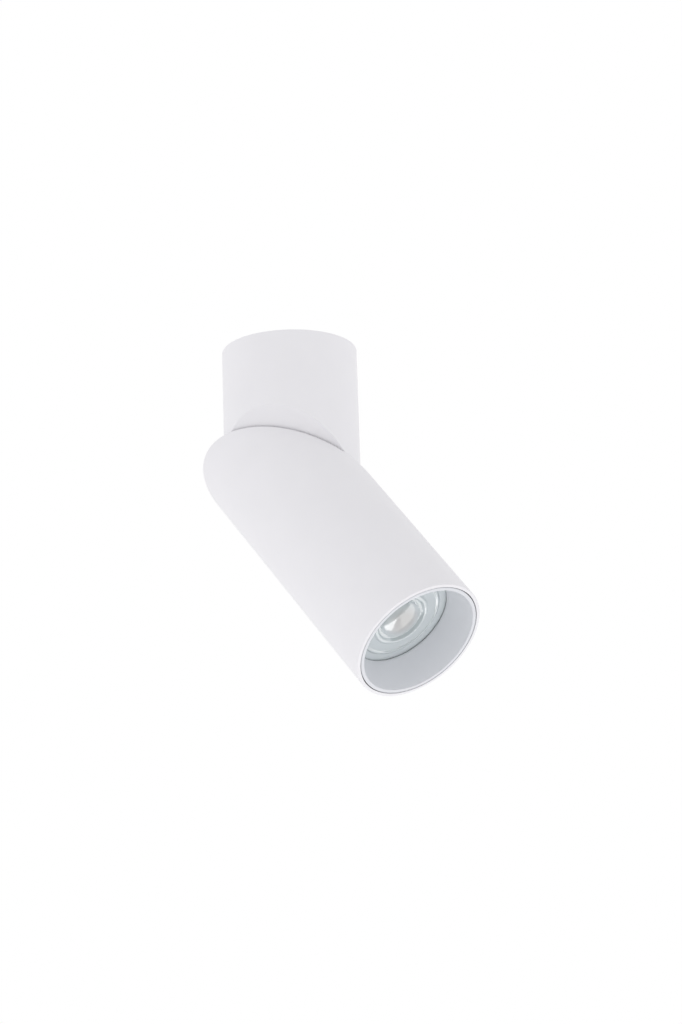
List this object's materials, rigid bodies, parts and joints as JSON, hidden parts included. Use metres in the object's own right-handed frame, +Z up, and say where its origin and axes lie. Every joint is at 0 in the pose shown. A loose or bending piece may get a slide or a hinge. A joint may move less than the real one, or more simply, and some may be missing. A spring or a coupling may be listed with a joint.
{
  "type": "ceiling spotlight",
  "caption": "Surface mounted ceiling spotlight: an upright tube and a tilted tube of equal width meet at an oblique swivel face, with a recessed lamp behind a glare ring.",
  "frame": {"origin": "centre of the plate's face that lies against the ceiling", "axes": "+Z up into the ceiling, +X along the line of the ceiling screws, -Y towards the viewer, the head leaning to +X and -Y"},
  "size_m": [0.1167, 0.1027, 0.1655],
  "materials": {
    "housing_white": "satin powder coat",
    "trim_white": "satin moulded",
    "plate_metal": "turned",
    "seal_rubber": "matt",
    "block_nylon": "moulded",
    "washer_nylon": "moulded",
    "plated_steel": "zinc plated",
    "plated_brass": "bright",
    "black_steel": "black oxide",
    "ceramic": "unglazed",
    "lead_sleeve": "woven glass sleeve",
    "lamp_body": "moulded",
    "reflector": "metallised",
    "board": "white coated",
    "phosphor": "cast",
    "lens": "clear moulded"
  },
  "bodies": {
    "ceiling_base": {"ceiling_plate": "plate_metal", "cable_grommet": "seal_rubber", "terminal_block": "block_nylon", "terminal_screws": "plated_brass", "block_screw": "plated_steel", "earth_tag": "plated_brass", "earth_screw": "plated_brass", "upper_housing": "housing_white", "lock_screw": "black_steel", "slip_washer": "washer_nylon", "upper_lead": "lead_sleeve"},
    "spot_head": {"head_housing": "housing_white", "pivot_bolt": "plated_steel", "friction_washer": "washer_nylon", "pressure_washer": "plated_steel", "wave_spring": "plated_steel", "pivot_nut": "plated_steel", "stop_pin": "plated_steel", "holder_bracket": "plated_steel", "bracket_screws": "plated_steel", "lampholder": "ceramic", "holder_contacts": "plated_brass", "holder_screws": "plated_steel", "lower_lead": "lead_sleeve"},
    "glare_trim": {"glare_baffle": "trim_white", "baffle_ring": "seal_rubber"},
    "lamp": {"lamp_shell": "lamp_body", "lamp_cap": "lamp_body", "lamp_pins": "plated_brass", "lamp_reflector": "reflector", "led_board": "board", "led_emitter": "phosphor", "lamp_lens": "lens"}
  },
  "joints": [
    {"name": "head_swivel", "type": "hinge", "parent": "ceiling_base", "child": "spot_head", "pos_m": [0, 0, -0.0646], "axis": [0.2488, 0.6619, 0.7071], "range_deg": [-117.3, 232.7]},
    {"name": "baffle_pull", "type": "slide", "parent": "spot_head", "child": "glare_trim", "axis": [0.4776, -0.4282, -0.7672], "range_m": [0, 0.015]},
    {"name": "lamp_twist", "type": "hinge", "parent": "spot_head", "child": "lamp", "pos_m": [0.05096, -0.04569, -0.14646], "axis": [0.4776, -0.4282, -0.7672], "range_deg": [0, 30]}
  ]
}
